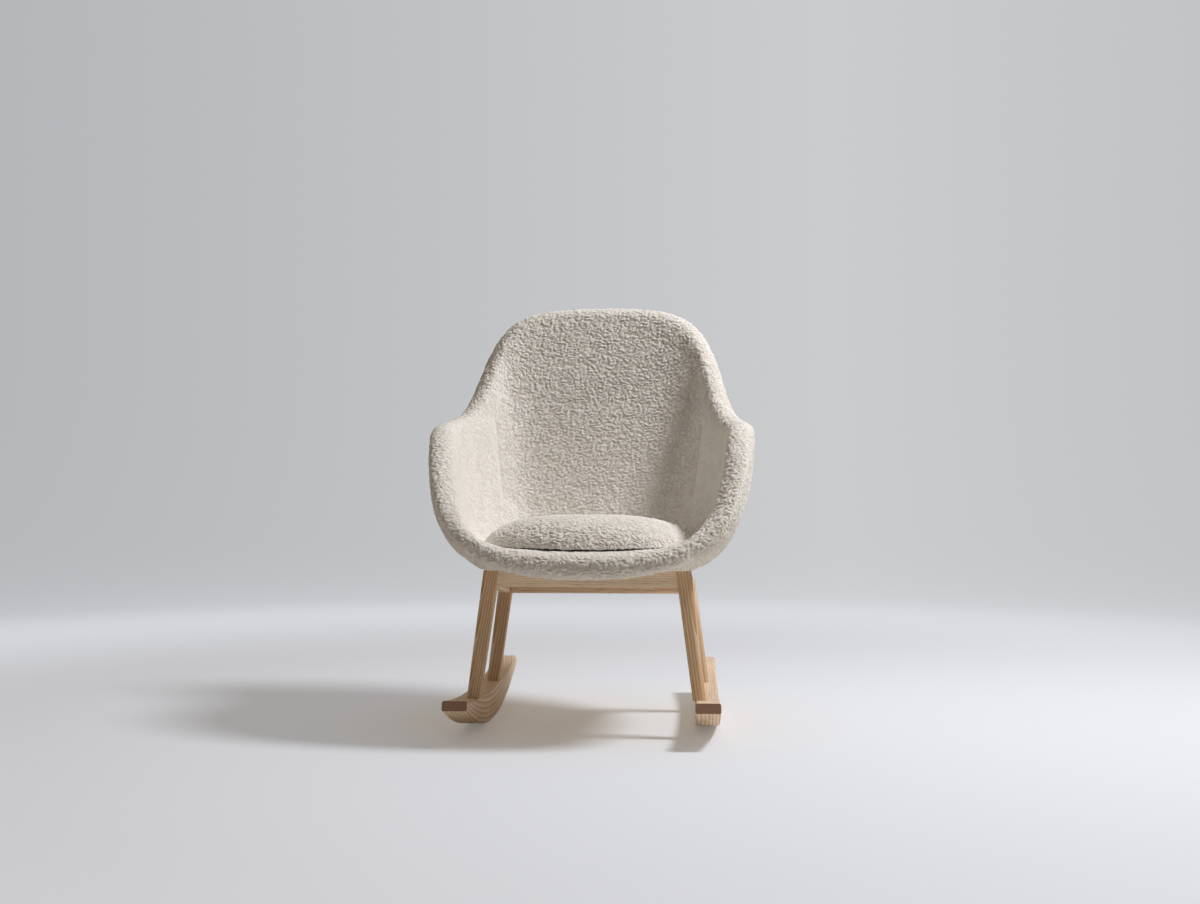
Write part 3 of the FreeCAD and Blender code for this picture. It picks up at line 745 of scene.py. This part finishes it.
def boucleMaterial():
    material, tree, shader = newMaterial("cream_boucle")
    coords = addNode(tree, "TexCoord", {})
    nap = addNode(tree, "Attribute", {}, attribute_name="nap")
    loops = addNode(
        tree, "TexNoise",
        {"Vector": coords.outputs["Object"], "Scale": perMetre(boucle["loop"]), "Detail": 2.0}
    )
    tuft = addNode(
        tree, "TexNoise",
        {"Vector": coords.outputs["Object"], "Scale": perMetre(boucle["tuft"]), "Detail": 2.0}
    )
    height = addNode(
        tree, "Math", {0: loops.outputs["Fac"], 1: boucle["loopShare"], 2: nap.outputs["Fac"]},
        operation="MULTIPLY_ADD"
    )
    # painted shade: the lower the pile, the nearer its colour to the darker crease tone
    low, high = boucle["toneReach"]
    share = addNode(
        tree, "MapRange", {"Value": height.outputs["Value"], "From Min": low, "From Max": high}
    )
    tone = addNode(
        tree, "Mix",
        {0: share.outputs["Result"], 6: linear(boucle["crease"]), 7: linear(boucle["crown"])},
        data_type="RGBA"
    )
    low, high = boucle["tuftReach"]
    dark, pale = boucle["tuftRange"]
    shade = addNode(
        tree, "MapRange",
        {
            "Value": tuft.outputs["Fac"], "From Min": low, "From Max": high,
            "To Min": dark, "To Max": pale
        }
    )
    varied = addNode(
        tree, "Mix", {0: 1.0, 6: tone.outputs[2], 7: shade.outputs["Result"]},
        data_type="RGBA", blend_type="MULTIPLY"
    )
    tree.links.new(varied.outputs[2], shader.inputs["Base Color"])
    relief = addNode(
        tree, "Bump",
        {
            "Height": loops.outputs["Fac"], "Strength": boucle["reliefStrength"],
            "Distance": boucle["loopDepth"]
        }
    )
    tree.links.new(relief.outputs["Normal"], shader.inputs["Normal"])
    shader.inputs["Roughness"].default_value = boucle["roughness"]
    shader.inputs["Specular IOR Level"].default_value = boucle["specular"]
    shader.inputs["Sheen Weight"].default_value = boucle["sheen"]
    shader.inputs["Sheen Roughness"].default_value = boucle["sheenRoughness"]
    return material


def joinNodes(name, parts):  # merged copies of CAD nodes in one mesh
    bm = bmesh.new()
    for part in parts:
        bm.from_mesh(nodes[part].data)
    bmesh.ops.remove_doubles(bm, verts=bm.verts, dist=weld)
    return newObject(name, meshFrom(bm, name))


def keepLargest(piece):  # drops the voids that the remesh leaves between the layers
    bm = bmesh.new()
    bm.from_mesh(piece.data)
    seen, best = set(), []
    for start in bm.verts:
        if start in seen:
            continue
        island, stack = [], [start]
        seen.add(start)
        while stack:
            vert = stack.pop()
            island.append(vert)
            for edge in vert.link_edges:
                other = edge.other_vert(vert)
                if other not in seen:
                    seen.add(other)
                    stack.append(other)
        if len(island) > len(best):
            best = island
    kept = set(best)
    bmesh.ops.delete(bm, geom=[v for v in bm.verts if v not in kept], context="VERTS")
    old, piece.data = piece.data, meshFrom(bm, piece.name)
    bpy.data.meshes.remove(old)


def remesh(piece, voxel, smoothing):
    voxels = piece.modifiers.new("voxels", "REMESH")
    voxels.mode = "VOXEL"
    voxels.voxel_size = voxel
    bakeModifiers(piece)
    keepLargest(piece)
    soften = piece.modifiers.new("soften", "SMOOTH")
    soften.factor = 0.5
    soften.iterations = smoothing
    bakeModifiers(piece)


def evened(mesh, values, rounds):  # each point's value drawn toward its neighbours'
    ends = np.empty(len(mesh.edges) * 2, np.int32)
    mesh.edges.foreach_get("vertices", ends)
    first, second = ends[0::2], ends[1::2]
    count = np.bincount(ends, minlength=len(values))
    for _ in range(rounds):
        total = np.bincount(first, values[second], len(values))
        total += np.bincount(second, values[first], len(values))
        values = 0.5 * values + 0.5 * total / np.maximum(count, 1)
    return values


# cloth under pressure with the seams held, taken as a bulge along the normals
def inflate(piece, soft, pinned):
    normals = normalsOf(piece.data)
    cad = coordsOf(piece.data)
    rest = cad - soft["shrink"] * normals
    moveTo(piece.data, rest)
    group = piece.vertex_groups.new(name="seams")
    group.add([int(i) for i in np.flatnonzero(pinned)], 1.0, "REPLACE")
    cloth = piece.modifiers.new("cloth", "CLOTH")
    cloth.settings.use_pressure = True
    cloth.settings.uniform_pressure_force = soft["pressure"]
    cloth.settings.shrink_min = -soft["spare"]
    cloth.settings.quality = soft["steps"]
    cloth.settings.effector_weights.gravity = 0
    cloth.settings.vertex_group_mass = "seams"
    cloth.point_cache.frame_start = 1
    cloth.point_cache.frame_end = soft["frames"]
    for step in range(1, soft["frames"] + 1):
        scene.frame_set(step)
    bakeModifiers(piece)
    scene.frame_set(1)
    piece.vertex_groups.clear()
    reach = ((coordsOf(piece.data) - rest) * normals).sum(axis=1)
    low, high = soft["bulge"]
    bulge = np.clip(reach - soft["shrink"], low, high)
    bulge = evened(piece.data, bulge, soft["evening"])
    moveTo(piece.data, cad + bulge[:, None] * normals)
    print(piece.name, "inflated by", round(float(reach.mean()) * 1000, 2), "mm")


def subdivide(piece, levels):
    finer = piece.modifiers.new("finer", "SUBSURF")
    finer.levels = finer.render_levels = levels
    bakeModifiers(piece)


seamReach = 0.016  # m, beyond which a seam has no effect


def seamDistance(piece, covers):  # to where two covers meet, measured closely only near it
    graph = bpy.context.evaluated_depsgraph_get()
    trees = [BVHTree.FromObject(nodes[name], graph) for name in covers]
    rough = piece.data.attributes.get("seam")
    distance = np.zeros(len(piece.data.vertices), np.float32)
    if rough:
        rough.data.foreach_get("value", distance)
    points = coordsOf(piece.data)
    for i in np.flatnonzero(distance < seamReach):
        distance[i] = max(tree.find_nearest(points[i])[3] for tree in trees)
    if rough:
        piece.data.attributes.remove(rough)
    else:
        piece.data.attributes.new("seam", "FLOAT", "POINT").data.foreach_set("value", distance)
    return distance.astype(float)


def scatter(cells, salt):  # repeatable random shares for whole-numbered cells
    mixed = np.sin(cells @ np.array((12.9898, 78.233, 37.719)) + salt) * 43758.5453
    return mixed - np.floor(mixed)


# distances to the two nearest of scattered hearts, and those cells' own shares
def nearestCells(spots):
    base = np.floor(spots)
    near, after = np.full(len(spots), np.inf), np.full(len(spots), np.inf)
    own, other = 0, 0
    for step in itertools.product((-1, 0, 1), repeat=3):
        cell = base + np.array(step)
        heart = cell + np.stack([scatter(cell, salt) for salt in (0.0, 1.7, 3.1)], axis=1)
        gap, share = np.linalg.norm(heart - spots, axis=1), scatter(cell, 5.9)
        first, second = gap < near, gap < after
        other = np.where(first, own, np.where(second, share, other))
        after = np.where(first, near, np.where(second, gap, after))
        near, own = np.where(first, gap, near), np.where(first, share, own)
    return near, after, own, other


def raiseNubs(piece, flatten, groove):  # pile relief, and a nap attribute from which the material paints shade into the creases
    points, normals = coordsOf(piece.data), normalsOf(piece.data)
    turn = np.array(Matrix.Rotation(math.radians(boucle["turn"]), 3, "Y"))
    spots = points @ turn.T * np.array(boucle["stretch"]) / boucle["nubSize"]
    # curls the rows of cells, so that the nubs wind
    spots += 0.5 * np.sin(1.7 * spots[:, (1, 2, 0)] + 0.8 * np.sin(1.1 * spots[:, (2, 0, 1)]))
    near, after, own, other = nearestCells(spots)
    crease = np.clip((after - near) / boucle["creaseWidth"], 0, 1)
    # some neighbours run together, by a share that both sides reckon alike
    joined = np.modf((own + other) * 97.3)[0] > boucle["joinedAbove"]
    level = np.maximum(crease, boucle["joinedHeight"] * joined)
    nap = np.sin(level * math.pi / 2) * (boucle["lowest"] + (1 - boucle["lowest"]) * own)
    nap = nap * (1 - boucle["flatShare"] * flatten) + boucle["flatHeight"] * flatten
    rise = boucle["nubHeight"] * (nap - boucle["nubMiddle"]) - groove
    moveTo(piece.data, points + normals * rise[:, None])
    attribute = piece.data.attributes.new("nap", "FLOAT", "POINT")
    attribute.data.foreach_set("value", nap.astype(np.float32))


fabric = boucleMaterial()

# Shell: one stuffed skin over the core, sewn along the rim and between arms and back

shell = {
    "voxel": 0.008,  # m
    "smoothing": 3,
    "shrink": 0.002,  # m that the cloth starts inside the foam's shape
    "pressure": 4.0,
    "spare": 0.004,  # share by which the cover is cut larger than the foam
    "frames": 14,
    "steps": 3,
    "bulge": (-0.0012, 0.0025),  # m from the foam's own shape, at the seams and in mid-panel
    "evening": 6,
    "levels": 2,
    "seatOrigin": (0, -0.0525, 0.294),  # m, the seat's own frame, tilted about X
    "seatTilt": -6.5,
    "seatMiddle": -0.032,
    "armSeamTop": 0.33,  # m above the seat's frame
    "armSeamFoot": {  # the seam curves forward and fades out at its lower end
        "heights": (0.140, 0.151, 0.1625, 0.172),
        "angles": (39.1, 43.4, 47.6, 51.0),
        "fading": (0.006, 0.005, 0.003, 0.0),
    },
    "armSeamDepth": 0.0032,
    "armSeamWidth": 0.004,
    "rimSeamDepth": 0.0022,
    "rimSeamWidth": 0.0035,
    "pinWidth": 0.006,
    "sag": 0.012,  # m that the padding hangs down onto the front legs, at most
    "sagWidth": 0.05,
    "sagGap": 0.001,
    "legTop": 0.008,  # m of a leg's upper end that stand for its top
    # inner arm faces, where the pile lies flatter, by how squarely they face across
    "armPress": (0.72, 0.95),
    "pressShare": 0.6,
}
shellNodes = ("outer_cover", "inner_cover", "outer_foam", "inner_foam")


def armSeamDistance(points, normals):  # along the inside, between the arm panel and the back panel
    level = Matrix.Rotation(math.radians(-shell["seatTilt"]), 3, "X")
    turn = np.array(level)
    local = (points - np.array(shell["seatOrigin"])) @ turn.T
    facing = normals @ turn.T
    out = local[:, :2] - np.array((0, shell["seatMiddle"]))
    radius = np.maximum(np.linalg.norm(out, axis=1), 1e-6)
    angle = np.degrees(np.arctan2(np.abs(out[:, 0]), out[:, 1]))
    foot = shell["armSeamFoot"]
    wanted = np.interp(local[:, 2], foot["heights"], foot["angles"])
    distance = np.abs(np.radians(angle - wanted)) * radius
    distance += np.interp(local[:, 2], foot["heights"], foot["fading"])
    inward = (out * facing[:, :2]).sum(axis=1) < 0
    lowest = foot["heights"][0]
    beyond = np.maximum(local[:, 2] - shell["armSeamTop"], lowest - local[:, 2])
    return np.where(inward, np.hypot(distance, np.maximum(beyond, 0)), 1.0)


def pressedArms(points, normals):
    low, high = shell["armPress"]
    square = np.clip((np.abs(normals[:, 0]) - low) / (high - low), 0, 1)
    return np.where(points[:, 0] * normals[:, 0] < 0, square, 0)


def sagOnLegs(piece):  # padding settled on the tops of the front legs
    points, normals = coordsOf(piece.data), normalsOf(piece.data)
    for name in ("front_leg_left", "front_leg_right"):
        leg = coordsOf(nodes[name].data)
        height = leg[:, 2].max()
        middle = leg[leg[:, 2] > height - shell["legTop"]].mean(axis=0)
        away = np.linalg.norm(points[:, :2] - middle[:2], axis=1)
        room = np.maximum(points[:, 2] - height - shell["sagGap"], 0)
        hang = np.exp(-(away / shell["sagWidth"]) ** 2) * np.clip(-2 * normals[:, 2], 0, 1)
        points[:, 2] -= np.minimum(shell["sag"] * hang, room)
    moveTo(piece.data, points)


def buildShell():
    piece = joinNodes("shell_upholstery", shellNodes + ("shell_core",))
    remesh(piece, shell["voxel"], shell["smoothing"])
    nearArm = armSeamDistance(coordsOf(piece.data), normalsOf(piece.data))
    nearRim = seamDistance(piece, shellNodes[:2])
    inflate(piece, shell, np.minimum(nearArm, nearRim) < shell["pinWidth"])
    sagOnLegs(piece)
    subdivide(piece, shell["levels"])
    points, normals = coordsOf(piece.data), normalsOf(piece.data)
    arm = np.exp(-(armSeamDistance(points, normals) / shell["armSeamWidth"]) ** 2)
    rim = np.exp(-(seamDistance(piece, shellNodes[:2]) / shell["rimSeamWidth"]) ** 2)
    pressed = shell["pressShare"] * pressedArms(points, normals)
    flatten = np.maximum.reduce((arm, rim, pressed))
    raiseNubs(piece, flatten, shell["armSeamDepth"] * arm + shell["rimSeamDepth"] * rim)
    paint(piece, fabric)
    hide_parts(*shellNodes)
    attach(piece, "chair")
    print("shell upholstered,", len(piece.data.polygons), "faces")


# Seat pad: a loose stuffed cushion with its seam round the edge

pad = {
    "voxel": 0.003,
    "smoothing": 2,
    "shrink": 0.002,
    "pressure": 4.0,
    "spare": 0.006,
    "frames": 16,
    "steps": 3,
    "bulge": (-0.0012, 0.0025),
    "evening": 8,
    "levels": 1,
    "seamDepth": 0.0012,
    "seamWidth": 0.003,
    "pinWidth": 0.005,
    "up": (0, 0.1132, 0.9936),  # square to the seat
    # m that the underside draws up inside the seam, so that the edge stands clear of the lip
    "tuck": 0.008,
}
padNodes = ("pad_foam", "pad_top_cover", "pad_bottom_cover")


def buildPad():
    piece = joinNodes("seat_cushion", padNodes)
    remesh(piece, pad["voxel"], pad["smoothing"])
    inflate(piece, pad, seamDistance(piece, padNodes[1:]) < pad["pinWidth"])
    subdivide(piece, pad["levels"])
    up = np.array(pad["up"])
    under = np.clip(-(normalsOf(piece.data) @ up), 0, 1)
    moveTo(piece.data, coordsOf(piece.data) + pad["tuck"] * under[:, None] * up)
    seam = np.exp(-(seamDistance(piece, padNodes[1:]) / pad["seamWidth"]) ** 2)
    raiseNubs(piece, seam, pad["seamDepth"] * seam)
    paint(piece, fabric)
    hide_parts(*padNodes)
    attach(piece, "seat_pad")
    print("seat pad upholstered,", len(piece.data.polygons), "faces")


buildShell()
buildPad()
